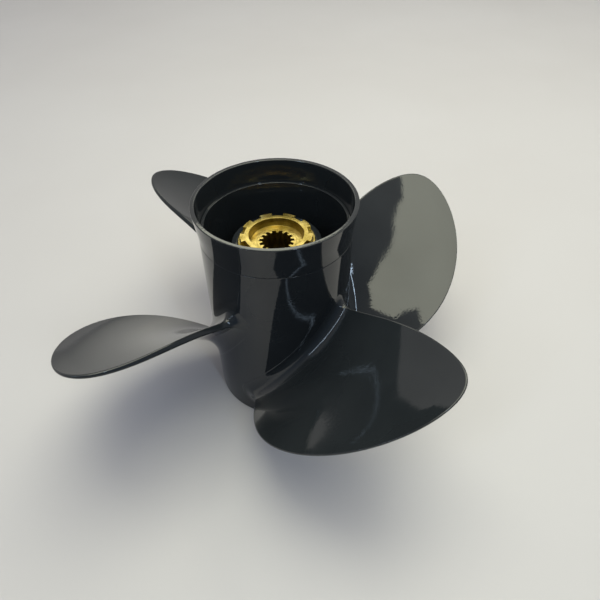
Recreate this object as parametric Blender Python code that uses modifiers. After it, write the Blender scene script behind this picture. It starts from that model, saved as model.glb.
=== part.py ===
"""Four-bladed boat propeller with a through-hub exhaust: a painted aluminium casting with a flared diffuser
ring, and a splined brass sleeve held in it by a rubber bush.

Metres, +Z up. The propeller stands on the forward rim of its barrel, with the shaft axis on Z and the aft end
up. The origin is the centre of the forward rim, and the tip of blade_1 lies above the +X axis. The blades are
right-handed: their height rises as they go round anticlockwise, seen from above.
"""

import math

import bmesh
import bpy
import numpy as np
from mathutils import Matrix

# Clearance between neighbouring solids
GAP = 0.0003

# Barrel and diffuser ring
BARREL_HEIGHT = 0.178
SEAM_HEIGHT = 0.152
SPIGOT_TOP = 0.1603
FRONT_RADIUS = 0.0548
WAIST_HEIGHT = 0.0545
WAIST_RADIUS = 0.0562
SEAM_RADIUS = 0.0570
RIM_RADIUS = 0.0605
RIM_WALL = 0.0034
SPIGOT_RADIUS = 0.0549
FRONT_BORE = 0.0506
AFT_BORE = 0.0526
EDGE_BREAK = 0.0005
BARREL_STEPS = 64

# Inner hub and webs
HUB_BOTTOM = 0.014
HUB_TOP = 0.142
HUB_RADIUS = 0.0340
HUB_BORE = 0.0295
HUB_STEPS = 48
WEB_COUNT = 4
WEB_ANGLE = math.radians(45.0)
WEB_THICKNESS = 0.005
WEB_BOTTOM = 0.018
WEB_TOP = 0.108

# Rubber bush
BUSH_BOTTOM = 0.024
BUSH_TOP = 0.136

# Splined brass sleeve
SLEEVE_BOTTOM = 0.018
SLEEVE_RADIUS = 0.0170
SLEEVE_FRONT_BORE = 0.0140
SPLINE_BOTTOM = 0.050
CUP_FLOOR = 0.1417
CUP_RADIUS = 0.0207
CUP_FLOOR_RADIUS = 0.0197
CROWN_RADIUS = 0.0242
LUG_RADIUS = 0.0274
LUG_TOP = 0.1483
LUG_BOTTOM = 0.1430
FLANGE_RADIUS = 0.0291
FLANGE_BOTTOM = 0.1385
NOTCH_COUNT = 9
NOTCH_WIDTH = 0.0086
NOTCH_ANGLE = math.radians(52.0)
SPLINE_TEETH = 15
SPLINE_ROOT_RADIUS = 0.0132
SPLINE_TIP_RADIUS = 0.0108
GROOVE_WIDTH = 0.0022
SLEEVE_STEPS = 45

# Blades. Each law is a polynomial of the span share, 0 at the barrel and 1 at the tip
BLADE_COUNT = 4
TIP_RADIUS = 0.1778
ROOT_RADIUS = 0.0559
MID_CHORD_ANGLE = (-21.0, 8.8, 0.6, 11.6)
MID_CHORD_HEIGHT = (0.0633, 0.0653, -0.0483, 0.0435)
PITCH = (0.3854, 0.1504, -0.1386)
HALF_CHORD = (0.0557, 0.0370, 0.1317, -0.1031)
MIDDLE_THICKNESS = (0.0088, -0.0046)
TRAILING_THICKNESS = (0.0055, -0.0024)
LEADING_THICKNESS = (0.0032, -0.0012)
CAMBER = 0.0010
TIP_CUT = 0.996
ROOT_FILLET = 0.011
FILLET_STATIONS = 4
SPAN_STATIONS = 13
CHORD_POINTS = 32
ROOT_LANES = 4
TIP_LANES = 2

SMOOTH_ANGLE = math.radians(35.0)

PAINT = ("grey_gloss_paint", (0.016, 0.019, 0.023, 1.0), 0.12, 0.0)
BARE_BRASS = ("machined_brass", (0.80, 0.58, 0.24, 1.0), 0.28, 1.0)
RUBBER = ("black_rubber", (0.020, 0.020, 0.020, 1.0), 0.75, 0.0)


def clear_scene():
    for obj in list(bpy.data.objects):
        bpy.data.objects.remove(obj, do_unlink=True)


def new_collection(name):
    collection = bpy.data.collections.new(name)
    bpy.context.scene.collection.children.link(collection)
    return collection


def new_material(name, finish):
    kind, colour, roughness, metallic = finish
    material = bpy.data.materials.new(f"{name}_{kind}")
    material.use_nodes = True
    shader = material.node_tree.nodes["Principled BSDF"]
    shader.inputs["Base Color"].default_value = colour
    shader.inputs["Roughness"].default_value = roughness
    shader.inputs["Metallic"].default_value = metallic
    material.diffuse_color = colour
    return material


def power_law(coefficients, share):
    return sum(c * share**power for power, c in enumerate(coefficients))


def barrel_radius(height):
    """Outer radius of the barrel below the seam."""
    heights = (0.0, WAIST_HEIGHT, SEAM_HEIGHT)
    radii = (FRONT_RADIUS, WAIST_RADIUS, SEAM_RADIUS)
    return float(np.interp(height, heights, radii))


def barrel_bore(height):
    return float(np.interp(height, (0.0, SPIGOT_TOP), (FRONT_BORE, AFT_BORE)))


def settle(obj, finish):
    """Keeps the shape that the modifiers make, shaded smooth across its rounded faces, with its own material."""
    graph = bpy.context.evaluated_depsgraph_get()
    mesh = bpy.data.meshes.new_from_object(obj.evaluated_get(graph))
    obj.modifiers.clear()
    obj.data = mesh
    mesh.name = obj.name
    mesh.shade_smooth()
    mesh.set_sharp_from_angle(angle=SMOOTH_ANGLE)
    mesh.materials.clear()
    mesh.materials.append(new_material(obj.name, finish))
    return obj


def turned(name, profile, steps, collection):
    """A closed profile of (radius, height) points, down its outer side and up its inner one, swept round Z."""
    mesh = bpy.data.meshes.new(name)
    points = [(radius, 0.0, height) for radius, height in profile]
    edges = [(i, (i + 1) % len(points)) for i in range(len(points))]
    mesh.from_pydata(points, edges, [])
    obj = bpy.data.objects.new(name, mesh)
    collection.objects.link(obj)
    screw = obj.modifiers.new("Turn", "SCREW")
    screw.axis = "Z"
    screw.angle = math.tau
    screw.steps = steps
    screw.render_steps = steps
    screw.use_merge_vertices = True
    screw.merge_threshold = 0.00001
    return obj


def prisms(name, outlines, bottom, top, collection):
    """Upright prisms, one for each outline of (x, y) points given anticlockwise."""
    mesh = bpy.data.meshes.new(name)
    bm = bmesh.new()
    for outline in outlines:
        base = bm.faces.new([bm.verts.new((x, y, bottom)) for x, y in outline])
        grown = bmesh.ops.extrude_face_region(bm, geom=[base])
        raised = [part for part in grown["geom"] if isinstance(part, bmesh.types.BMVert)]
        bmesh.ops.translate(bm, verts=raised, vec=(0.0, 0.0, top - bottom))
    bmesh.ops.recalc_face_normals(bm, faces=bm.faces)
    bm.to_mesh(mesh)
    bm.free()
    obj = bpy.data.objects.new(name, mesh)
    collection.objects.link(obj)
    return obj


def cut(obj, cutter):
    cutter.hide_render = True
    cutter.display_type = "WIRE"
    boolean = obj.modifiers.new(f"Cut {cutter.name}", "BOOLEAN")
    boolean.operation = "DIFFERENCE"
    boolean.solver = "EXACT"
    boolean.object = cutter


def turn_about_axis(bm, angle):
    bmesh.ops.rotate(bm, verts=bm.verts, cent=(0.0, 0.0, 0.0), matrix=Matrix.Rotation(angle, 3, "Z"))


def polar(radius, angle):
    return (radius * math.cos(angle), radius * math.sin(angle))


def make_barrel(parts):
    profile = [
        (SPIGOT_RADIUS, SPIGOT_TOP),
        (SPIGOT_RADIUS, SEAM_HEIGHT),
        (SEAM_RADIUS, SEAM_HEIGHT),
        (WAIST_RADIUS, WAIST_HEIGHT),
        (FRONT_RADIUS, EDGE_BREAK),
        (FRONT_RADIUS - EDGE_BREAK, 0.0),
        (FRONT_BORE + EDGE_BREAK, 0.0),
        (FRONT_BORE, EDGE_BREAK),
        (AFT_BORE, SPIGOT_TOP - EDGE_BREAK),
        (AFT_BORE + EDGE_BREAK, SPIGOT_TOP),
    ]
    return settle(turned("barrel", profile, BARREL_STEPS, parts), PAINT)


def make_diffuser_ring(parts):
    rim_bore = RIM_RADIUS - RIM_WALL
    socket = SPIGOT_RADIUS + GAP
    profile = [
        (RIM_RADIUS - EDGE_BREAK, BARREL_HEIGHT),
        (RIM_RADIUS, BARREL_HEIGHT - EDGE_BREAK),
        (SEAM_RADIUS, SEAM_HEIGHT + GAP),
        (socket, SEAM_HEIGHT + GAP),
        (socket, SPIGOT_TOP + GAP),
        (rim_bore, BARREL_HEIGHT - EDGE_BREAK),
        (rim_bore + EDGE_BREAK, BARREL_HEIGHT),
    ]
    return settle(turned("diffuser_ring", profile, BARREL_STEPS, parts), PAINT)


def make_inner_hub(parts):
    profile = [
        (HUB_RADIUS - EDGE_BREAK, HUB_TOP),
        (HUB_RADIUS, HUB_TOP - EDGE_BREAK),
        (HUB_RADIUS, HUB_BOTTOM + EDGE_BREAK),
        (HUB_RADIUS - EDGE_BREAK, HUB_BOTTOM),
        (HUB_BORE, HUB_BOTTOM),
        (HUB_BORE, HUB_TOP),
    ]
    return settle(turned("inner_hub", profile, HUB_STEPS, parts), PAINT)


def make_web(number, angle, parts):
    """A flat rib across the exhaust passage: four upright corners at its hub end and its barrel end."""
    half = WEB_THICKNESS / 2
    bm = bmesh.new()
    corners = []
    for height in (WEB_BOTTOM, WEB_TOP):
        inner = HUB_RADIUS + GAP
        outer = math.sqrt((barrel_bore(height) - GAP) ** 2 - half**2) - half**2 / barrel_bore(height)
        for radius, side in ((inner, -half), (outer, -half), (outer, half), (inner, half)):
            corners.append(bm.verts.new((radius, side, height)))
    bmesh.ops.convex_hull(bm, input=corners)
    bmesh.ops.recalc_face_normals(bm, faces=bm.faces)
    turn_about_axis(bm, angle)
    mesh = bpy.data.meshes.new(f"web_{number}")
    bm.to_mesh(mesh)
    bm.free()
    obj = bpy.data.objects.new(f"web_{number}", mesh)
    parts.objects.link(obj)
    return settle(obj, PAINT)


def make_rubber_bush(parts):
    outer = HUB_BORE - GAP
    inner = SLEEVE_RADIUS + GAP
    slope = 0.002
    profile = [
        (outer - slope, BUSH_TOP),
        (outer, BUSH_TOP - slope),
        (outer, BUSH_BOTTOM + slope),
        (outer - slope, BUSH_BOTTOM),
        (inner, BUSH_BOTTOM),
        (inner, BUSH_TOP),
    ]
    return settle(turned("rubber_bush", profile, HUB_STEPS, parts), RUBBER)


def notch_outlines():
    """The gaps between the lugs, each a rectangle across the lug ring."""
    half = NOTCH_WIDTH / 2
    outlines = []
    for number in range(NOTCH_COUNT):
        angle = NOTCH_ANGLE + number * math.tau / NOTCH_COUNT
        along = np.array(polar(1.0, angle))
        across = np.array((-along[1], along[0]))
        outer = LUG_RADIUS + EDGE_BREAK
        corners = ((CROWN_RADIUS, -half), (outer, -half), (outer, half), (CROWN_RADIUS, half))
        outlines.append([along * radius + across * side for radius, side in corners])
    return outlines


def spline_outline():
    """The outline of the splined shaft that fits the bore, which the sleeve keeps clear."""
    half_groove = math.asin(GROOVE_WIDTH / 2 / SPLINE_ROOT_RADIUS)
    half_tip = math.asin(GROOVE_WIDTH / 2 / SPLINE_TIP_RADIUS)
    pitch = math.tau / SPLINE_TEETH
    outline = []
    for tooth in range(SPLINE_TEETH):
        middle = NOTCH_ANGLE + (tooth + 0.5) * pitch
        outline.append(polar(SPLINE_TIP_RADIUS, middle - half_tip))
        outline.append(polar(SPLINE_ROOT_RADIUS, middle - half_groove))
        outline.append(polar(SPLINE_ROOT_RADIUS, middle + half_groove))
        outline.append(polar(SPLINE_TIP_RADIUS, middle + half_tip))
    return outline


def make_spline_sleeve(parts, cutters):
    bore = SPLINE_TIP_RADIUS - 0.001
    profile = [
        (LUG_RADIUS, LUG_TOP),
        (LUG_RADIUS, LUG_BOTTOM),
        (FLANGE_RADIUS, LUG_BOTTOM),
        (FLANGE_RADIUS, FLANGE_BOTTOM),
        (SLEEVE_RADIUS, FLANGE_BOTTOM),
        (SLEEVE_RADIUS, SLEEVE_BOTTOM),
        (SLEEVE_FRONT_BORE, SLEEVE_BOTTOM),
        (SLEEVE_FRONT_BORE, SPLINE_BOTTOM),
        (bore, SPLINE_BOTTOM),
        (bore, CUP_FLOOR),
        (CUP_FLOOR_RADIUS, CUP_FLOOR),
        (CUP_RADIUS, LUG_TOP),
    ]
    sleeve = turned("spline_sleeve", profile, SLEEVE_STEPS, parts)
    notches = prisms("notch_cutter", notch_outlines(), LUG_BOTTOM, LUG_TOP + 0.001, cutters)
    shaft = prisms(
        "spline_cutter", [spline_outline()], SPLINE_BOTTOM - 0.001, CUP_FLOOR + 0.001, cutters
    )
    cut(sleeve, notches)
    cut(sleeve, shaft)
    return settle(sleeve, BARE_BRASS)


def fillet_offset(rise):
    """How far the blade's outline spreads at this rise above the barrel, for a round fillet."""
    if rise >= ROOT_FILLET:
        return 0.0
    return ROOT_FILLET - math.sqrt(ROOT_FILLET**2 - (ROOT_FILLET - rise) ** 2)


def span_shares():
    """Span shares of the blade's sections: close together in the root fillet and at the tip."""
    span = TIP_RADIUS - ROOT_RADIUS
    fillet = [ROOT_FILLET / span * (i / FILLET_STATIONS) ** 2 for i in range(FILLET_STATIONS)]
    start = ROOT_FILLET / span
    steps = np.linspace(0.0, 1.0, SPAN_STATIONS)
    return fillet + [start + (1.0 - start) * (1.0 - (1.0 - step) ** 1.8) for step in steps]


def blade_section(share):
    """One closed section: points round the outline, from the trailing edge over the pressure face."""
    span = TIP_RADIUS - ROOT_RADIUS
    spread = fillet_offset(share * span)
    chord = math.sqrt(1.0 - TIP_CUT * share) * power_law(HALF_CHORD, share)
    middle = power_law(MIDDLE_THICKNESS, share)
    trailing = power_law(TRAILING_THICKNESS, share)
    leading = power_law(LEADING_THICKNESS, share)
    lead = power_law(PITCH, share) / math.tau
    angle = math.radians(power_law(MID_CHORD_ANGLE, share))
    height = power_law(MID_CHORD_HEIGHT, share)
    nominal = ROOT_RADIUS + share * span
    slope = math.atan2(lead, nominal)
    points = []
    for number in range(CHORD_POINTS):
        turn = math.tau * number / CHORD_POINTS
        station = math.cos(turn)
        crown = 1.0 - station**2
        edge = leading + (trailing - leading) * (1.0 + station) / 2
        thickness = edge + (middle - edge) * crown
        side = 0.0 if number in (0, CHORD_POINTS // 2) else math.copysign(1.0, math.sin(turn))
        along = chord * station + spread * station
        across = -thickness / 2 - CAMBER * crown * min(1.0, chord / HALF_CHORD[0])
        across += side * (thickness / 2 + spread * math.sqrt(crown))
        z = height + along * math.sin(slope) + across * math.cos(slope)
        seat = (barrel_radius(z) + GAP - ROOT_RADIUS) * (1.0 - share)
        theta = angle + (along * math.cos(slope) - across * math.sin(slope)) / nominal
        x, y = polar(nominal + seat, theta)
        points.append((x, y, z))
    return points


def plan_distance(corners, one, other):
    """How far two corners lie apart, seen from above."""
    return (corners[one].co.xy - corners[other].co.xy).length


def close_across(bm, ring, lanes, on_barrel):
    """Closes a section with rows of faces from its pressure side to its back, which a root keeps on the barrel."""
    half = CHORD_POINTS // 2
    rows = [[ring[0]] * (lanes + 1)]
    for i in range(1, half):
        row = [ring[i]]
        for lane in range(1, lanes):
            point = ring[i].co.lerp(ring[-i].co, lane / lanes)
            if on_barrel:
                reach = (barrel_radius(point.z) + GAP) / math.hypot(point.x, point.y)
                point.x *= reach
                point.y *= reach
            row.append(bm.verts.new(point))
        rows.append(row + [ring[-i]])
    rows.append([ring[half]] * (lanes + 1))
    for near, far in zip(rows, rows[1:]):
        for lane in range(lanes):
            corners = list(dict.fromkeys((near[lane], near[lane + 1], far[lane + 1], far[lane])))
            first, second = plan_distance(corners, 0, 2), plan_distance(corners, 1, -1)
            if len(corners) == 3:
                bm.faces.new(corners)
            elif first < second:
                bm.faces.new((corners[0], corners[1], corners[2]))
                bm.faces.new((corners[0], corners[2], corners[3]))
            else:
                bm.faces.new((corners[1], corners[2], corners[3]))
                bm.faces.new((corners[1], corners[3], corners[0]))


def make_blade(number, angle, parts):
    bm = bmesh.new()
    rings = [[bm.verts.new(point) for point in blade_section(share)] for share in span_shares()]
    for lower, upper in zip(rings, rings[1:]):
        for i in range(CHORD_POINTS):
            j = (i + 1) % CHORD_POINTS
            bm.faces.new((lower[i], lower[j], upper[j], upper[i]))
    close_across(bm, rings[0], ROOT_LANES, on_barrel=True)
    close_across(bm, rings[-1], TIP_LANES, on_barrel=False)
    bmesh.ops.recalc_face_normals(bm, faces=bm.faces)
    turn_about_axis(bm, angle)
    mesh = bpy.data.meshes.new(f"blade_{number}")
    bm.to_mesh(mesh)
    bm.free()
    obj = bpy.data.objects.new(f"blade_{number}", mesh)
    parts.objects.link(obj)
    return settle(obj, PAINT)


def main():
    clear_scene()
    parts = new_collection("ship_propeller")
    cutters = new_collection("cutters")
    make_barrel(parts)
    make_diffuser_ring(parts)
    make_inner_hub(parts)
    for number in range(WEB_COUNT):
        make_web(number + 1, WEB_ANGLE + number * math.tau / WEB_COUNT, parts)
    make_rubber_bush(parts)
    make_spline_sleeve(parts, cutters)
    for number in range(BLADE_COUNT):
        make_blade(number + 1, number * math.tau / BLADE_COUNT, parts)


main()
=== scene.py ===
# %% [markdown]
# # A four-bladed boat propeller in gloss paint, with a brass sleeve in its hub
#
# The propeller stands on the forward rim of its barrel, as it does on a workshop table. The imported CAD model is
# the frame: it says where every solid is, in metres, with the shaft axis on Z and the floor at zero. Each piece
# here is a finer casting or turning that takes the place of one CAD solid, so nothing has to be fitted by eye.

import math

import bmesh
import bpy
from mathutils import Matrix, Vector


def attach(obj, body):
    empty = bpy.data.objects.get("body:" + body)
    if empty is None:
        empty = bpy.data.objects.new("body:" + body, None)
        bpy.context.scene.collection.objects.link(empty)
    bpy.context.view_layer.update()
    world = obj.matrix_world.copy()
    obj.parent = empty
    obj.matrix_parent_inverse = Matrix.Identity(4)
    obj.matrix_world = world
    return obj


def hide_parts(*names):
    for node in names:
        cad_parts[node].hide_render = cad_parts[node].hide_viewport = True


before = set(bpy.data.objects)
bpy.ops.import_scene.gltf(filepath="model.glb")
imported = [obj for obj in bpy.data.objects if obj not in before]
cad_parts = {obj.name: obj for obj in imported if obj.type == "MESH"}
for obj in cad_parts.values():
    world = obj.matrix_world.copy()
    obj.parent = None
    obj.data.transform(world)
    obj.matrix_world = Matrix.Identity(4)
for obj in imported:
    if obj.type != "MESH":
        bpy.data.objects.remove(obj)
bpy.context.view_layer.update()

# %% [markdown]
# The picture should show the finishes' own colours, so it uses the Standard view, which adds no film curve.

# %% Plain colours
bpy.context.scene.view_settings.view_transform = "Standard"

# %% [markdown]
# ## Helpers for finishes
#
# Each finish is a Principled shader fed by patterns in object coordinates, so that the patterns are in real
# millimetres and stay put on the piece. A few small helpers are enough for all of them: cloudy noise, a stretch
# of its values to a useful range, a tint between two colours, and relief that tilts the surface by a real depth.

# %% Finish helpers
def new_finish(name):
    """A new material, and its nodes, links and shader."""
    material = bpy.data.materials.new(name)
    material.use_nodes = True
    tree = material.node_tree
    return material, tree, tree.nodes["Principled BSDF"]


def place_on_piece(tree):
    """Object coordinates: metres on the piece itself."""
    return tree.nodes.new("ShaderNodeTexCoord").outputs["Object"]


def clouds(tree, place, scale, detail, roughness=0.5):
    """Cloudy noise with about this many clouds to the metre."""
    noise = tree.nodes.new("ShaderNodeTexNoise")
    noise.inputs["Scale"].default_value = scale
    noise.inputs["Detail"].default_value = detail
    noise.inputs["Roughness"].default_value = roughness
    tree.links.new(place, noise.inputs["Vector"])
    return noise.outputs["Fac"]


def stretch(tree, pattern, low, high, start=0.35, end=0.65):
    """Runs from low to high as the pattern goes from start to end."""
    spread = tree.nodes.new("ShaderNodeMapRange")
    spread.inputs["From Min"].default_value = start
    spread.inputs["From Max"].default_value = end
    spread.inputs["To Min"].default_value = low
    spread.inputs["To Max"].default_value = high
    tree.links.new(pattern, spread.inputs["Value"])
    return spread.outputs["Result"]


def tint(tree, pattern, dark, light, start=0.35, end=0.65):
    """Goes from the dark colour to the light one as the pattern goes from start to end."""
    ramp = tree.nodes.new("ShaderNodeValToRGB")
    ramp.color_ramp.elements[0].position = start
    ramp.color_ramp.elements[0].color = (*dark, 1.0)
    ramp.color_ramp.elements[1].position = end
    ramp.color_ramp.elements[1].color = (*light, 1.0)
    tree.links.new(pattern, ramp.inputs["Fac"])
    return ramp.outputs["Color"]


def relief(tree, pattern, depth, under=None):
    """Tilts the surface as a relief of this depth in metres, over another relief if there is one."""
    bump = tree.nodes.new("ShaderNodeBump")
    bump.inputs["Distance"].default_value = depth
    tree.links.new(pattern, bump.inputs["Height"])
    if under is not None:
        tree.links.new(under, bump.inputs["Normal"])
    return bump.outputs["Normal"]

# %% [markdown]
# ## Gloss paint on cast aluminium
#
# The casting is sprayed with near-black gloss enamel. Such paint looks blue-black where it mirrors something
# dark and grey where it mirrors the floor, so its own colour is dark and its surface is smooth. Two reliefs give
# the life of a real coat: orange peel, with dimples a couple of millimetres wide and some microns deep, and the
# slow waviness of the casting under it. Thin films of dust vary the roughness a little.

# %% Paint
PAINT_DARK = (0.0145, 0.0170, 0.0195)
PAINT_LIGHT = (0.0175, 0.0204, 0.0232)
PAINT_CLOUDS = 30.0
DUST_CLOUDS = 55.0
PAINT_ROUGHNESS = (0.030, 0.065)
WAVES_PER_METRE = 38.0
WAVE_DEPTH = 0.00002
DIMPLES_PER_METRE = 600.0
DIMPLE_DEPTH = 0.000024


def make_gloss_paint():
    material, tree, shader = new_finish("gloss_enamel_on_casting")
    place = place_on_piece(tree)
    colour = tint(tree, clouds(tree, place, PAINT_CLOUDS, 3.0), PAINT_DARK, PAINT_LIGHT)
    film = clouds(tree, place, DUST_CLOUDS, 5.0, 0.6)
    waves = relief(tree, clouds(tree, place, WAVES_PER_METRE, 1.0), WAVE_DEPTH)
    peel = relief(tree, clouds(tree, place, DIMPLES_PER_METRE, 1.5), DIMPLE_DEPTH, waves)
    tree.links.new(colour, shader.inputs["Base Color"])
    tree.links.new(stretch(tree, film, *PAINT_ROUGHNESS), shader.inputs["Roughness"])
    tree.links.new(peel, shader.inputs["Normal"])
    return material


gloss_paint = make_gloss_paint()
print("paint nodes", len(gloss_paint.node_tree.nodes))

# %% [markdown]
# ## Machined brass
#
# The sleeve is turned on a lathe, so its end faces carry fine concentric lines and its round walls fine rings
# along the axis. Noise read along one number gives lines of uneven strength, as a real tool leaves them. That
# number is the distance from the axis on faces that look along the axis, and the height on round walls.

# %% Brass
BRASS_DEEP = (0.36, 0.265, 0.060)
BRASS_BRIGHT = (0.62, 0.475, 0.155)
BRASS_ROUGHNESS = (0.22, 0.38)
TOOL_LINES = 5200.0
TOOL_LINE_DEPTH = 0.000008
STAIN_CLOUDS = 130.0
GRAINS_PER_METRE = 900.0
GRAIN_DEPTH = 0.000010
FACE_TURNS = (0.5, 0.8)


def tool_lines(tree, distance):
    """Fine uneven lines across one distance."""
    lines = tree.nodes.new("ShaderNodeTexNoise")
    lines.noise_dimensions = "1D"
    lines.inputs["Scale"].default_value = TOOL_LINES
    lines.inputs["Detail"].default_value = 2.0
    tree.links.new(distance, lines.inputs["W"])
    return lines.outputs["Fac"]


def turned_marks(tree, place):
    """Concentric lines on end faces and rings on round walls."""
    split = tree.nodes.new("ShaderNodeSeparateXYZ")
    tree.links.new(place, split.inputs["Vector"])
    flat = tree.nodes.new("ShaderNodeCombineXYZ")
    tree.links.new(split.outputs["X"], flat.inputs["X"])
    tree.links.new(split.outputs["Y"], flat.inputs["Y"])
    radius = tree.nodes.new("ShaderNodeVectorMath")
    radius.operation = "LENGTH"
    tree.links.new(flat.outputs["Vector"], radius.inputs[0])
    facing = tree.nodes.new("ShaderNodeNewGeometry")
    upright = tree.nodes.new("ShaderNodeSeparateXYZ")
    tree.links.new(facing.outputs["Normal"], upright.inputs["Vector"])
    level = tree.nodes.new("ShaderNodeMath")
    level.operation = "ABSOLUTE"
    tree.links.new(upright.outputs["Z"], level.inputs[0])
    choose = tree.nodes.new("ShaderNodeMix")
    tree.links.new(stretch(tree, level.outputs["Value"], 0.0, 1.0, *FACE_TURNS), choose.inputs["Factor"])
    tree.links.new(tool_lines(tree, split.outputs["Z"]), choose.inputs["A"])
    tree.links.new(tool_lines(tree, radius.outputs["Value"]), choose.inputs["B"])
    return choose.outputs["Result"]


def make_machined_brass():
    material, tree, shader = new_finish("machined_brass")
    place = place_on_piece(tree)
    marks = turned_marks(tree, place)
    stain = clouds(tree, place, STAIN_CLOUDS, 4.0)
    tree.links.new(tint(tree, stain, BRASS_DEEP, BRASS_BRIGHT), shader.inputs["Base Color"])
    tree.links.new(stretch(tree, marks, *BRASS_ROUGHNESS), shader.inputs["Roughness"])
    grain = relief(tree, clouds(tree, place, GRAINS_PER_METRE, 2.0), GRAIN_DEPTH)
    tree.links.new(relief(tree, marks, TOOL_LINE_DEPTH, grain), shader.inputs["Normal"])
    shader.inputs["Metallic"].default_value = 1.0
    return material


machined_brass = make_machined_brass()
print("brass nodes", len(machined_brass.node_tree.nodes))

# %% [markdown]
# ## Moulded rubber
#
# The bush between sleeve and hub is black rubber with a dull moulded skin. A fine grain breaks up its shine, and
# a grey bloom lies on it in soft patches.

# %% Rubber
RUBBER_BLACK = (0.012, 0.012, 0.012)
RUBBER_BLOOM = (0.026, 0.026, 0.027)
RUBBER_ROUGHNESS = (0.58, 0.74)
BLOOM_CLOUDS = 70.0
SKIN_GRAINS = 1500.0
SKIN_DEPTH = 0.00004


def make_moulded_rubber():
    material, tree, shader = new_finish("moulded_rubber")
    place = place_on_piece(tree)
    bloom = clouds(tree, place, BLOOM_CLOUDS, 4.0)
    skin = clouds(tree, place, SKIN_GRAINS, 2.0)
    tree.links.new(tint(tree, bloom, RUBBER_BLACK, RUBBER_BLOOM), shader.inputs["Base Color"])
    tree.links.new(stretch(tree, bloom, *RUBBER_ROUGHNESS), shader.inputs["Roughness"])
    tree.links.new(relief(tree, skin, SKIN_DEPTH), shader.inputs["Normal"])
    return material


moulded_rubber = make_moulded_rubber()
print("rubber nodes", len(moulded_rubber.node_tree.nodes))

# %% [markdown]
# ## From a bmesh to a shown piece
#
# Every piece ends the same way. Its faces are turned outwards, it is shaded smooth, it gets its finish, it is hung
# on the root body, and the CAD solid it stands for is hidden. Turned pieces also get a Weighted Normal modifier:
# their wide faces then keep one clean reflection right up to the small roundings.

# %% Piece helpers
ROUNDING_SEGMENTS = 6
ROUND_STEPS = 180


def show_piece(bm, name, node, material, weigh=False):
    """Makes a finished bmesh the piece that stands for one CAD node."""
    bmesh.ops.recalc_face_normals(bm, faces=bm.faces)
    open_edges = sum(not edge.is_manifold for edge in bm.edges)
    triangles = sum(len(face.verts) - 2 for face in bm.faces)
    mesh = bpy.data.meshes.new(name)
    bm.to_mesh(mesh)
    bm.free()
    mesh.shade_smooth()
    mesh.materials.append(material)
    piece = bpy.data.objects.new(name, mesh)
    bpy.context.scene.collection.objects.link(piece)
    if weigh:
        piece.modifiers.new("Clean wide faces", "WEIGHTED_NORMAL")
    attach(piece, "root")
    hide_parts(node)
    print(name, "triangles", triangles, "open edges", open_edges)
    return piece


def round_corners(bm, corners, roundings):
    """Rounds each corner of a flat outline by its own amount."""
    for corner, rounding in zip(corners, roundings):
        if rounding:
            bmesh.ops.bevel(bm, geom=[corner], offset=rounding, offset_type="OFFSET", affect="VERTICES",
                            segments=ROUNDING_SEGMENTS, profile=0.5, material=-1)


def turn_section(corners):
    """A ring from its section: (radius, height, rounding) corners, each rounded, then spun round the shaft axis."""
    bm = bmesh.new()
    outline = [bm.verts.new((radius, 0.0, height)) for radius, height, _ in corners]
    bm.faces.new(outline)
    round_corners(bm, outline, [rounding for _, _, rounding in corners])
    bmesh.ops.delete(bm, geom=bm.faces[:], context="FACES_ONLY")
    bmesh.ops.spin(bm, geom=bm.verts[:] + bm.edges[:], cent=(0.0, 0.0, 0.0), axis=(0.0, 0.0, 1.0),
                   angle=math.tau, steps=ROUND_STEPS, use_merge=True, use_duplicate=False)
    bmesh.ops.remove_doubles(bm, verts=bm.verts, dist=1e-7)
    return bm

# %% [markdown]
# ## Barrel
#
# The barrel is the exhaust tube that carries the blades. It widens a little towards the seam, faster below its
# waist than above, and a step at its top holds the diffuser ring. Spinning its section gives exactly the form
# that a lathe or a round core gives, and rounding the corners of the section first puts the soft painted edges
# everywhere at once. The waist is one corner with a very long rounding.

# %% Barrel
BARREL_HEIGHT = 0.178
SEAM_HEIGHT = 0.152
SPIGOT_TOP = 0.1603
FRONT_RADIUS = 0.0548
WAIST_HEIGHT = 0.0545
WAIST_RADIUS = 0.0562
WAIST_EASE = 0.045
SEAM_RADIUS = 0.0570
SPIGOT_RADIUS = 0.0549
FRONT_BORE = 0.0506
AFT_BORE = 0.0526

show_piece(
    turn_section(
        [
            (FRONT_RADIUS, 0.0, 0.0007),
            (WAIST_RADIUS, WAIST_HEIGHT, WAIST_EASE),
            (SEAM_RADIUS, SEAM_HEIGHT, 0.0003),
            (SPIGOT_RADIUS, SEAM_HEIGHT, 0.0),
            (SPIGOT_RADIUS, SPIGOT_TOP, 0.0003),
            (AFT_BORE, SPIGOT_TOP, 0.0004),
            (FRONT_BORE, 0.0, 0.0007),
        ]
    ),
    "barrel_casting", "barrel", gloss_paint, weigh=True,
)

# %% [markdown]
# ## Diffuser ring
#
# The flared ring at the aft end keeps exhaust away from the blades. Its outside starts almost in line with the
# barrel and then flares evenly to a flat rim, and its inside is a plain cone above a step. It is a section spun
# round the axis, as the barrel is.

# %% Diffuser ring
RIM_RADIUS = 0.0605
RIM_BORE = 0.0571
SEAM_GAP = 0.0002
FLARE_HEIGHT = 0.1566
FLARE_RADIUS = 0.05718
FLARE_EASE = 0.0045
RIM_ROUNDING = 0.0007

show_piece(
    turn_section(
        [
            (SEAM_RADIUS, SEAM_HEIGHT + SEAM_GAP, 0.0003),
            (FLARE_RADIUS, FLARE_HEIGHT, FLARE_EASE),
            (RIM_RADIUS, BARREL_HEIGHT, RIM_ROUNDING),
            (RIM_BORE, BARREL_HEIGHT, RIM_ROUNDING),
            (SPIGOT_RADIUS + SEAM_GAP, SPIGOT_TOP + SEAM_GAP, 0.0),
            (SPIGOT_RADIUS + SEAM_GAP, SEAM_HEIGHT + SEAM_GAP, 0.0),
        ]
    ),
    "diffuser_ring_casting", "diffuser_ring", gloss_paint, weigh=True,
)

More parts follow.
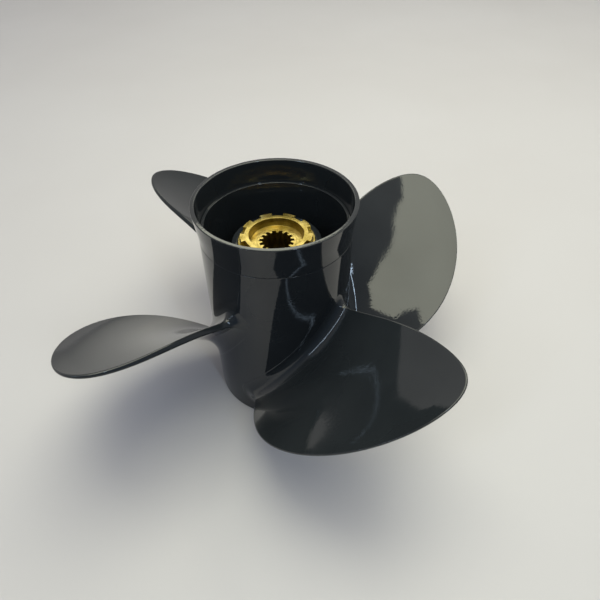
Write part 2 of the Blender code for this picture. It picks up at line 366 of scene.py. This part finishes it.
# %% [markdown]
# ## Inner hub
#
# The thick tube inside the barrel holds the rubber bush. Its flat end shows as a painted ring round the brass.

# %% Inner hub
HUB_BOTTOM = 0.014
HUB_TOP = 0.142
HUB_RADIUS = 0.0340
HUB_BORE = 0.0295

show_piece(
    turn_section(
        [
            (HUB_RADIUS, HUB_BOTTOM, 0.0008),
            (HUB_RADIUS, HUB_TOP, 0.0008),
            (HUB_BORE, HUB_TOP, 0.0005),
            (HUB_BORE, HUB_BOTTOM, 0.0005),
        ]
    ),
    "hub_casting", "inner_hub", gloss_paint, weigh=True,
)

# %% [markdown]
# ## Rubber bush
#
# The bush is moulded round the sleeve and pressed into the hub. Each end face has a shallow round groove, which
# such bushes have so that the rubber can give. A groove is four more corners of the section.

# %% Rubber bush
BUSH_BOTTOM = 0.024
BUSH_TOP = 0.136
BUSH_OUTER = 0.0292
BUSH_INNER = 0.0173
GROOVE_OUTER = 0.0258
GROOVE_INNER = 0.0212
GROOVE_DEPTH = 0.0016
GROOVE_SLOPE = 0.0008

show_piece(
    turn_section(
        [
            (BUSH_OUTER, BUSH_BOTTOM, 0.0015),
            (BUSH_OUTER, BUSH_TOP, 0.0015),
            (GROOVE_OUTER, BUSH_TOP, 0.0006),
            (GROOVE_OUTER - GROOVE_SLOPE, BUSH_TOP - GROOVE_DEPTH, 0.0006),
            (GROOVE_INNER + GROOVE_SLOPE, BUSH_TOP - GROOVE_DEPTH, 0.0006),
            (GROOVE_INNER, BUSH_TOP, 0.0006),
            (BUSH_INNER, BUSH_TOP, 0.0008),
            (BUSH_INNER, BUSH_BOTTOM, 0.0008),
            (GROOVE_INNER, BUSH_BOTTOM, 0.0006),
            (GROOVE_INNER + GROOVE_SLOPE, BUSH_BOTTOM + GROOVE_DEPTH, 0.0006),
            (GROOVE_OUTER - GROOVE_SLOPE, BUSH_BOTTOM + GROOVE_DEPTH, 0.0006),
            (GROOVE_OUTER, BUSH_BOTTOM, 0.0006),
        ]
    ),
    "rubber_bush_moulding", "rubber_bush", moulded_rubber, weigh=True,
)

# %% [markdown]
# ## Webs
#
# Four ribs join the hub to the barrel, with the exhaust passages between them. Each is a plan outline raised
# into a rib. Its ends spread where they meet the round walls, which is the cast fillet: a concave corner of the
# outline with a large rounding. The barrel's bore is a cone, so the upper outline reaches further out.

# %% Webs
WEB_COUNT = 4
WEB_ANGLE = math.radians(45.0)
WEB_HALF = 0.0025
WEB_BOTTOM = 0.018
WEB_TOP = 0.108
WEB_FILLET = 0.004
WEB_BURIED = 0.0010
WEB_RIM_ROUNDING = 0.0012
WEB_RIM_ANGLE = math.radians(60.0)


def barrel_bore(height):
    return FRONT_BORE + (AFT_BORE - FRONT_BORE) * height / SPIGOT_TOP


def make_web():
    foot = WEB_HALF + WEB_FILLET
    hub_edge = math.sqrt(HUB_RADIUS**2 - foot**2)
    hub_middle = math.sqrt(HUB_RADIUS**2 - WEB_HALF**2)
    bore = barrel_bore(WEB_BOTTOM)
    bore_edge = math.sqrt(bore**2 - foot**2)
    bore_middle = math.sqrt(bore**2 - WEB_HALF**2)
    side = [
        (hub_edge - WEB_BURIED, foot, 0.0),
        (hub_edge, foot, 0.0),
        (hub_middle, WEB_HALF, WEB_FILLET),
        (bore_middle, WEB_HALF, WEB_FILLET),
        (bore_edge, foot, 0.0),
        (bore_edge + WEB_BURIED, foot, 0.0),
    ]
    outline = side + [(along, -across, rounding) for along, across, rounding in reversed(side)]
    bm = bmesh.new()
    corners = [bm.verts.new((along, across, WEB_BOTTOM)) for along, across, _ in outline]
    bm.faces.new(corners)
    round_corners(bm, corners, [rounding for _, _, rounding in outline])
    grown = bmesh.ops.extrude_face_region(bm, geom=bm.faces[:])
    raised = [part for part in grown["geom"] if isinstance(part, bmesh.types.BMVert)]
    bmesh.ops.translate(bm, verts=raised, vec=(0.0, 0.0, WEB_TOP - WEB_BOTTOM))
    reach = barrel_bore(WEB_TOP) - barrel_bore(WEB_BOTTOM)
    outer = [corner for corner in raised if corner.co.x > (HUB_RADIUS + bore) / 2.0]
    bmesh.ops.translate(bm, verts=outer, vec=(reach, 0.0, 0.0))
    rims = [edge for edge in bm.edges if abs(edge.verts[0].co.z - edge.verts[1].co.z) < 0.001
            and abs(edge.calc_face_angle(0.0)) > WEB_RIM_ANGLE]
    bmesh.ops.bevel(bm, geom=rims, offset=WEB_RIM_ROUNDING, offset_type="OFFSET", affect="EDGES", segments=4,
                    profile=0.5, material=-1)
    return bm


for number in range(WEB_COUNT):
    web = make_web()
    turn = Matrix.Rotation(WEB_ANGLE + number * math.tau / WEB_COUNT, 3, "Z")
    bmesh.ops.rotate(web, verts=web.verts, cent=(0.0, 0.0, 0.0), matrix=turn)
    show_piece(web, f"web_casting_{number + 1}", f"web_{number + 1}", gloss_paint, weigh=True)

# %% [markdown]
# ## Splined brass sleeve
#
# The sleeve takes the drive from the shaft. Inside it has fifteen grooves for the shaft's splines, and at its aft
# end a crown with nine lugs round a cup for the washer and nut. The easiest way to keep all that in one clean
# mesh is to grow it ring by ring: a circle of 180 points is extruded again and again, and each new ring is moved
# to its own outline. 180 divides by nine and by fifteen, so every lug and groove gets whole points.

# %% Sleeve outlines
RING_POINTS = 180
NOTCH_COUNT = 9
NOTCH_ANGLE = math.radians(52.0)
LUG_RADIUS = 0.0274
CROWN_RADIUS = 0.0242
FLANGE_RADIUS = 0.0291
LUG_SPREAD = 1.375
NOTCH_SPREAD = 0.82
SPLINE_TEETH = 15
SPLINE_ROOT_RADIUS = 0.0132
SPLINE_TIP_RADIUS = 0.0108


def from_middle(point, pitch):
    """The middle angle of this point's pitch, and how many points away from it the point is."""
    offset = point % pitch - pitch // 2
    return NOTCH_ANGLE + math.tau * (point - offset) / RING_POINTS, offset


def round_outline(radius):
    """Every point of the ring at one radius."""
    return lambda point: (radius, NOTCH_ANGLE + math.tau * point / RING_POINTS)


def crown_outline(point):
    """Nine lugs of 9 points between notches of 11. A lug is wider outside, so the notch sides are parallel."""
    middle, offset = from_middle(point, RING_POINTS // NOTCH_COUNT)
    turn = math.tau * offset / RING_POINTS
    if abs(offset) <= 4:
        return LUG_RADIUS, middle + turn * LUG_SPREAD
    return CROWN_RADIUS, middle + turn


def flange_outline(point):
    """A full circle whose points stay in line with the crown's, so that no face between the two folds."""
    middle, offset = from_middle(point, RING_POINTS // NOTCH_COUNT)
    if abs(offset) <= 4:
        return FLANGE_RADIUS, middle + math.tau * offset / RING_POINTS * LUG_SPREAD
    half = RING_POINTS // NOTCH_COUNT // 2
    drawn = math.copysign(half - (half - abs(offset)) * NOTCH_SPREAD, offset)
    return FLANGE_RADIUS, middle + math.tau * drawn / RING_POINTS


def spline_outline(point):
    """Fifteen grooves of 7 points between teeth of 5."""
    middle, offset = from_middle(point, RING_POINTS // SPLINE_TEETH)
    radius = SPLINE_ROOT_RADIUS if abs(offset) <= 3 else SPLINE_TIP_RADIUS
    return radius, middle + math.tau * offset / RING_POINTS

# %% [markdown]
# The cup's floor carries two fine grooves that the tool left, too shallow to be more than a line of light. After
# the rings are grown, the last one lands on the first, and merging the two closes the sleeve. Then every sharp
# edge gets a small chamfer, because a machinist breaks each edge with a file.

# %% Sleeve
CUP_FLOOR = 0.1417
LUG_TOP = 0.1483
FLANGE_TOP = 0.1430
FLANGE_BOTTOM = 0.1385
SPLINE_BOTTOM = 0.050
SLEEVE_BOTTOM = 0.018
SLEEVE_RADIUS = 0.0170
SLEEVE_FRONT_BORE = 0.0140
CUP_RADIUS = 0.0207
CUP_FLOOR_RADIUS = 0.0197
TOOL_GROOVE_DEPTH = 0.00014
TOOL_GROOVE_HALF = 0.0003
EDGE_CHAMFER = 0.00022
SHARP = math.radians(32.0)


def tool_groove(radius):
    """Three rings that dip and rise again."""
    return [
        (round_outline(radius - TOOL_GROOVE_HALF), CUP_FLOOR),
        (round_outline(radius), CUP_FLOOR - TOOL_GROOVE_DEPTH),
        (round_outline(radius + TOOL_GROOVE_HALF), CUP_FLOOR),
    ]


SLEEVE_RINGS = [
    (round_outline(CUP_RADIUS), LUG_TOP),
    (crown_outline, LUG_TOP),
    (crown_outline, FLANGE_TOP),
    (flange_outline, FLANGE_TOP),
    (flange_outline, FLANGE_BOTTOM),
    (round_outline(SLEEVE_RADIUS), FLANGE_BOTTOM),
    (round_outline(SLEEVE_RADIUS), SLEEVE_BOTTOM),
    (round_outline(SLEEVE_FRONT_BORE), SLEEVE_BOTTOM),
    (round_outline(SLEEVE_FRONT_BORE), SPLINE_BOTTOM),
    (spline_outline, SPLINE_BOTTOM),
    (spline_outline, CUP_FLOOR),
    *tool_groove(0.0152),
    *tool_groove(0.0174),
    (round_outline(CUP_FLOOR_RADIUS), CUP_FLOOR),
    (round_outline(CUP_RADIUS), LUG_TOP),
]


def place_ring(ring, point_layer, outline, height):
    for vert in ring:
        radius, angle = outline(vert[point_layer])
        vert.co = (radius * math.cos(angle), radius * math.sin(angle), height)


def make_sleeve():
    bm = bmesh.new()
    bmesh.ops.create_circle(bm, segments=RING_POINTS, radius=1.0)
    point_layer = bm.verts.layers.int.new("point")
    for vert in bm.verts:
        vert[point_layer] = round(math.atan2(vert.co.y, vert.co.x) / math.tau * RING_POINTS) % RING_POINTS
    ring, edges = bm.verts[:], bm.edges[:]
    place_ring(ring, point_layer, *SLEEVE_RINGS[0])
    for outline, height in SLEEVE_RINGS[1:]:
        grown = bmesh.ops.extrude_edge_only(bm, edges=edges)["geom"]
        ring = [part for part in grown if isinstance(part, bmesh.types.BMVert)]
        edges = [part for part in grown if isinstance(part, bmesh.types.BMEdge)]
        place_ring(ring, point_layer, outline, height)
    bmesh.ops.remove_doubles(bm, verts=bm.verts, dist=1e-6)
    sharp = [edge for edge in bm.edges if edge.calc_face_angle(0.0) > SHARP]
    bmesh.ops.bevel(bm, geom=sharp, offset=EDGE_CHAMFER, offset_type="OFFSET", affect="EDGES", segments=2,
                    profile=0.5, material=-1)
    return bm


show_piece(make_sleeve(), "brass_sleeve", "spline_sleeve", machined_brass, weigh=True)

# %% [markdown]
# ## Blades
#
# A blade is a twisted plate. Its pressure face looks up here, its trailing edge is a blunt band with small
# corners, its leading edge is thin and round, and at its root it flows into the barrel with a large fillet.
#
# It starts as a grid, along the chord and out along the span, raised into a block whose rims are cut into rows.
# Each point of the block then has three plain numbers: the station along the chord from -1 at the leading edge
# to 1 at the trailing edge, the row out from the barrel, and the level from the back up to the pressure face.
# One function turns those into a place on the propeller. The laws for chord, twist and thickness repeat the CAD
# model's, each as a polynomial of the span share, 0 at the barrel and 1 at the tip. Only the very tip is finer.

# %% Blade laws
BLADE_COUNT = 4
TIP_RADIUS = 0.17775
ROOT_RADIUS = 0.0559
SPAN = TIP_RADIUS - ROOT_RADIUS
MID_CHORD_ANGLE = (-21.0, 8.8, 0.6, 11.6)
MID_CHORD_HEIGHT = (0.0633, 0.0653, -0.0483, 0.0435)
PITCH = (0.3854, 0.1504, -0.1386)
HALF_CHORD = (0.0557, 0.0370, 0.1317, -0.1031)
TIP_CUT = 0.9999
MIDDLE_THICKNESS = (0.0088, -0.0046)
TRAILING_THICKNESS = (0.0055, -0.0024)
LEADING_THICKNESS = (0.0032, -0.0012)
CAMBER = 0.0010


def law(coefficients, share):
    return sum(c * share**power for power, c in enumerate(coefficients))


def half_chord(share):
    return math.sqrt(1.0 - TIP_CUT * share) * law(HALF_CHORD, share)


def barrel_radius(height):
    """Outside of the barrel, with the same soft waist as its section."""
    lower = (WAIST_RADIUS - FRONT_RADIUS) / WAIST_HEIGHT
    bend = (SEAM_RADIUS - WAIST_RADIUS) / (SEAM_HEIGHT - WAIST_HEIGHT) - lower
    into = height - (WAIST_HEIGHT - WAIST_EASE)
    if into <= 0.0:
        eased = 0.0
    elif into < 2.0 * WAIST_EASE:
        eased = bend * into**2 / (4.0 * WAIST_EASE)
    else:
        eased = bend * (height - WAIST_HEIGHT)
    return FRONT_RADIUS + lower * height + eased


print("tip to tip", 2.0 * TIP_RADIUS, "root half chord", half_chord(0.0))

# %% [markdown]
# The root fillet is a quarter round that lies flat on the barrel at its foot. It is larger on the pressure side
# than on the back. Rows lie close together in it and a hidden skirt carries it just under the barrel's skin, so
# that the two pieces meet without a line. Beyond the fillet the rows draw together towards the tip, where the
# outline turns fastest.

# %% Blade rows and edge levels
PRESSURE_FILLET = 0.0130
BACK_FILLET = 0.0095
END_FILLET = 0.0120
SKIRT_REACH = 0.0008
SKIRT_DIP = 0.00005
SKIRT_FOOT = 0.0006
FILLET_CROWDING = 1.3
FILLET_ROWS = 12
OUTER_ROWS = 42
CHORD_CELLS = 44
ARC_LEVELS = 6
TRAILING_CORNER = 0.0012
LEADING_ROUNDNESS = 0.47


def blade_rows():
    """(height above the barrel, extra reach of the fillet) of every row."""
    rows = [(-SKIRT_FOOT, 2.0 * SKIRT_REACH), (-2.0 * SKIRT_DIP, 2.0 * SKIRT_REACH), (-SKIRT_DIP, SKIRT_REACH)]
    for step in range(FILLET_ROWS):
        turn = math.radians(90.0) * (step / FILLET_ROWS) ** FILLET_CROWDING
        rows.append((PRESSURE_FILLET * (1.0 - math.cos(turn)), 0.0))
    for step in range(OUTER_ROWS + 1):
        left = (1.0 - step / OUTER_ROWS) ** 2
        rows.append((SPAN - (SPAN - PRESSURE_FILLET) * left, 0.0))
    return rows


BLADE_ROWS = blade_rows()
EDGE_LEVELS = 2 * ARC_LEVELS + 2


def edge_level(level):
    """(side of the plate, turn of its edge) at this level: two quarter rounds with a flat band between them."""
    quarter = math.radians(90.0)
    if level <= ARC_LEVELS:
        return -1.0, quarter * (level / ARC_LEVELS - 1.0)
    if level >= EDGE_LEVELS - ARC_LEVELS:
        return 1.0, quarter * ((level - EDGE_LEVELS) / ARC_LEVELS + 1.0)
    return 0.0, 0.0


def fillet_reach(rise, turn):
    """How far the root fillet reaches out at this height above the barrel, for this turn round the plate's edge."""
    flat = PRESSURE_FILLET if turn > 0.0 else BACK_FILLET
    radius = flat * math.sin(turn) ** 2 + END_FILLET * math.cos(turn) ** 2
    if rise >= radius:
        return 0.0
    return radius - math.sqrt(radius**2 - (radius - max(rise, 0.0)) ** 2)


print("rows", len(BLADE_ROWS), "levels", EDGE_LEVELS + 1)

# %% [markdown]
# The thickness is taken along the plate's own normal, and the chord along its slope, which follows the pitch. Near
# the tip the plate's belly fades out and its two edges get one thickness, so that the tip is plainly round.

# %% Blade place
SHARE_STEP = 0.0001
LEAN_STARTS = 0.02
TIP_EASE = 0.035


def blade_place(station, row, level):
    """Where a point of the block lies on the propeller."""
    rise, skirt = BLADE_ROWS[row]
    side, turn = edge_level(level)
    share = min(max(rise / SPAN, 0.0), 1.0)
    chord = half_chord(share)
    below, above = max(share - SHARE_STEP, 0.0), min(share + SHARE_STEP, 1.0)
    taper = (half_chord(above) - half_chord(below)) / ((above - below) * SPAN)
    along_part = 1.0 / math.hypot(1.0, taper)
    out_part = -taper * along_part * min(max(rise / LEAN_STARTS, 0.0), 1.0)
    fullness = min(1.0, chord / TIP_EASE)
    crown = fullness * (1.0 - station**2)
    trailing = (1.0 + fullness * station) / 2.0
    leading_edge, trailing_edge = law(LEADING_THICKNESS, share), law(TRAILING_THICKNESS, share)
    edge = leading_edge + (trailing_edge - leading_edge) * trailing
    thickness = edge + (law(MIDDLE_THICKNESS, share) - edge) * crown
    leading_corner = LEADING_ROUNDNESS * leading_edge
    corner = leading_corner + (TRAILING_CORNER - leading_corner) * trailing
    reach = corner + fillet_reach(rise, turn) + skirt
    along = station * (chord - corner * along_part + math.cos(turn) * reach * along_part)
    across = -thickness / 2.0 - CAMBER * crown * min(1.0, chord / HALF_CHORD[0])
    across += side * (thickness / 2.0 - corner) + math.sin(turn) * reach
    rise += corner * out_part * (math.cos(turn) - 1.0)
    share = min(max(rise / SPAN, 0.0), 1.0)
    nominal = ROOT_RADIUS + rise
    slope = math.atan2(law(PITCH, share) / math.tau, nominal)
    height = law(MID_CHORD_HEIGHT, share) + along * math.sin(slope) + across * math.cos(slope)
    angle = math.radians(law(MID_CHORD_ANGLE, share))
    angle += (along * math.cos(slope) - across * math.sin(slope)) / nominal
    radius = nominal + (barrel_radius(height) - ROOT_RADIUS) * (1.0 - share)
    return Vector((radius * math.cos(angle), radius * math.sin(angle), height))


def make_blade():
    span_cells = len(BLADE_ROWS) - 1
    bm = bmesh.new()
    bmesh.ops.create_grid(bm, x_segments=CHORD_CELLS, y_segments=span_cells, size=1.0)
    grown = bmesh.ops.extrude_face_region(bm, geom=bm.faces[:])
    raised = [part for part in grown["geom"] if isinstance(part, bmesh.types.BMVert)]
    bmesh.ops.translate(bm, verts=raised, vec=(0.0, 0.0, 1.0))
    uprights = [edge for edge in bm.edges if abs(edge.verts[0].co.z - edge.verts[1].co.z) > 0.5]
    bmesh.ops.subdivide_edges(bm, edges=uprights, cuts=EDGE_LEVELS - 1, use_grid_fill=True)
    for vert in bm.verts:
        station = math.sin(vert.co.x * math.radians(90.0))
        row = round((vert.co.y + 1.0) / 2.0 * span_cells)
        vert.co = blade_place(station, row, round(vert.co.z * EDGE_LEVELS))
    return bm

# %% [markdown]
# One blade is made, and its copies are turned round the shaft axis in their meshes. The first blade's tip lies
# over the X axis.

# %% Four blades
for number in range(BLADE_COUNT):
    blade = make_blade()
    turn = Matrix.Rotation(number * math.tau / BLADE_COUNT, 3, "Z")
    bmesh.ops.rotate(blade, verts=blade.verts, cent=(0.0, 0.0, 0.0), matrix=turn)
    show_piece(blade, f"blade_casting_{number + 1}", f"blade_{number + 1}", gloss_paint)

# %% [markdown]
# ## Floor
#
# The propeller stands on a plain pale table top. A touch of cloudiness in its colour and a faint grain keep it
# from looking like empty space.

# %% Floor
FLOOR_SIZE = 6.0
TABLE_DARK = (0.560, 0.538, 0.548)
TABLE_LIGHT = (0.580, 0.560, 0.573)
TABLE_ROUGHNESS = (0.52, 0.60)
TABLE_GRAIN_DEPTH = 0.00003


def make_pale_table():
    material, tree, shader = new_finish("pale_table_top")
    place = place_on_piece(tree)
    colour = tint(tree, clouds(tree, place, 2.5, 3.0), TABLE_DARK, TABLE_LIGHT)
    tree.links.new(colour, shader.inputs["Base Color"])
    tree.links.new(stretch(tree, clouds(tree, place, 9.0, 3.0), *TABLE_ROUGHNESS), shader.inputs["Roughness"])
    tree.links.new(relief(tree, clouds(tree, place, 900.0, 2.0), TABLE_GRAIN_DEPTH), shader.inputs["Normal"])
    return material


floor_mesh = bpy.data.meshes.new("table_top")
bm = bmesh.new()
bmesh.ops.create_grid(bm, x_segments=8, y_segments=8, size=FLOOR_SIZE / 2.0)
bm.to_mesh(floor_mesh)
bm.free()
floor_mesh.materials.append(make_pale_table())
table_top = bpy.data.objects.new("table_top", floor_mesh)
bpy.context.scene.collection.objects.link(table_top)
print("table top", FLOOR_SIZE, "m wide")

# %% [markdown]
# ## Light
#
# Three level warm panels hang above the table and give most of the light. Gloss paint is a mirror, so the outline
# of a panel matters as much as its strength: the main one draws the bright area with a firm border on the far right
# blade, and the far one lights the near part of the rim. The panels are flat meshes that glow, because a lamp
# could only be a rectangle or an ellipse.

# %% Light panels
PANEL_HEIGHT = 1.2
MAIN_PANEL = [
    (0.80, 0.55), (0.80, -0.04), (0.53, -0.12), (0.52, -0.24), (0.45, -0.32), (0.20, -0.44), (0.00, -0.55),
    (-0.34, -0.65), (-0.60, -0.47), (-0.43, -0.22), (-0.30, -0.21), (-0.21, -0.14), (-0.28, -0.03), (-0.30, 0.50),
]
FAR_PANEL = [(0.50, 1.35), (0.62, 0.93), (1.02, 1.03), (0.95, 1.40)]
RIGHT_PANEL = [(0.95, 0.25), (0.95, -0.35), (1.50, -0.35), (1.50, 0.25)]
PANEL_RADIANCE = 4.0
PANEL_COLOUR = (1.0, 1.01, 0.83)
PANEL_UNEVENNESS = 0.05


def make_panel_glow():
    material, tree, shader = new_finish("panel_glow")
    place = place_on_piece(tree)
    dim, bright = PANEL_RADIANCE * (1.0 - PANEL_UNEVENNESS), PANEL_RADIANCE * (1.0 + PANEL_UNEVENNESS)
    uneven = stretch(tree, clouds(tree, place, 2.0, 1.0), dim, bright)
    shader.inputs["Base Color"].default_value = (0.0, 0.0, 0.0, 1.0)
    shader.inputs["Emission Color"].default_value = (*PANEL_COLOUR, 1.0)
    tree.links.new(uneven, shader.inputs["Emission Strength"])
    return material


panel_glow = make_panel_glow()


def hang_panel(name, outline):
    bm = bmesh.new()
    face = bm.faces.new([bm.verts.new((x, y, PANEL_HEIGHT)) for x, y in outline])
    print(name, "square metres", round(face.calc_area(), 3))
    mesh = bpy.data.meshes.new(name)
    bm.to_mesh(mesh)
    bm.free()
    mesh.materials.append(panel_glow)
    panel = bpy.data.objects.new(name, mesh)
    bpy.context.scene.collection.objects.link(panel)


hang_panel("main_panel", MAIN_PANEL)
hang_panel("far_panel", FAR_PANEL)
hang_panel("right_panel", RIGHT_PANEL)

# %% [markdown]
# Two narrow bluish windows give the thin bright streaks on the fillets and, mirrored twice, on the barrel.

# %% Windows
MIDDLE = Vector((0.0, 0.0, 0.08))
WINDOW_DISTANCE = 3.0
WINDOW_COLOUR = (0.62, 0.80, 1.0)


def add_window(name, azimuth, elevation, width, height, radiance):
    """A lamp that faces the propeller. Angles and sizes are in degrees, and azimuth runs from +X towards +Y."""
    azimuth, elevation = math.radians(azimuth), math.radians(elevation)
    flat = math.cos(elevation)
    towards = Vector((flat * math.cos(azimuth), flat * math.sin(azimuth), math.sin(elevation)))
    lamp = bpy.data.lights.new(name, "AREA")
    lamp.shape = "RECTANGLE"
    lamp.size = math.radians(width) * WINDOW_DISTANCE
    lamp.size_y = math.radians(height) * WINDOW_DISTANCE
    lamp.energy = radiance * math.pi * lamp.size * lamp.size_y
    lamp.color = WINDOW_COLOUR
    window = bpy.data.objects.new(name, lamp)
    facing = towards.to_track_quat("Z", "Y").to_matrix().to_4x4()
    window.matrix_world = Matrix.Translation(MIDDLE + towards * WINDOW_DISTANCE) @ facing
    bpy.context.scene.collection.objects.link(window)
    print(name, "watts", round(lamp.energy, 2))


add_window("left_window", -170.0, 38.0, 1.3, 40.0, 26.0)
add_window("near_window", -100.0, 42.0, 3.0, 16.0, 20.0)

# %% [markdown]
# The room round it is plain and soft. It is bright behind the propeller and darker and bluer behind the camera, so
# its shade is read along one slanting direction.

# %% Room
world = bpy.data.worlds.new("soft_room")
world.use_nodes = True
bpy.context.scene.world = world
room = world.node_tree
ROOM_BRIGHT_SIDE = (0.35, 0.80, 0.48)
ROOM_DARK = (0.07, 0.10, 0.165)
ROOM_LIGHT = (0.64, 0.62, 0.60)
ROOM_SHADES = (-0.7, 1.0)

slant = room.nodes.new("ShaderNodeVectorMath")
slant.operation = "DOT_PRODUCT"
slant.inputs[1].default_value = ROOM_BRIGHT_SIDE
room.links.new(room.nodes.new("ShaderNodeTexCoord").outputs["Generated"], slant.inputs[0])
shade = stretch(room, slant.outputs["Value"], 0.0, 1.0, *ROOM_SHADES)
room.links.new(tint(room, shade, ROOM_DARK, ROOM_LIGHT, 0.0, 1.0), room.nodes["Background"].inputs["Color"])
print("room nodes", len(room.nodes))

# %% [markdown]
# ## Camera
#
# The camera stands where the photograph was taken, in front and above, turned a little about its own axis. Its
# three directions are written out, so that nothing is left to a tracking rule.

# %% Camera
CAMERA_PLACE = (-0.19893894, -0.29163358, 0.40114904)
CAMERA_RIGHT = (0.79013051, -0.61274837, -0.01527121)
CAMERA_UP = (0.42107854, 0.52453300, 0.73997162)
CAMERA_BACK = (-0.44540615, -0.59110453, 0.67246472)
CAMERA_LENS = 34.67
CAMERA_SENSOR = 36.0

camera_data = bpy.data.cameras.new("photo_camera")
camera_data.lens = CAMERA_LENS
camera_data.sensor_width = CAMERA_SENSOR
camera_data.clip_start = 0.01
camera = bpy.data.objects.new("photo_camera", camera_data)
bpy.context.scene.collection.objects.link(camera)
camera.matrix_world = (
    Matrix.Translation(CAMERA_PLACE) @ Matrix((CAMERA_RIGHT, CAMERA_UP, CAMERA_BACK)).transposed().to_4x4()
)
bpy.context.scene.camera = camera
print("camera to middle", round((camera.matrix_world.translation - MIDDLE).length, 3), "m")
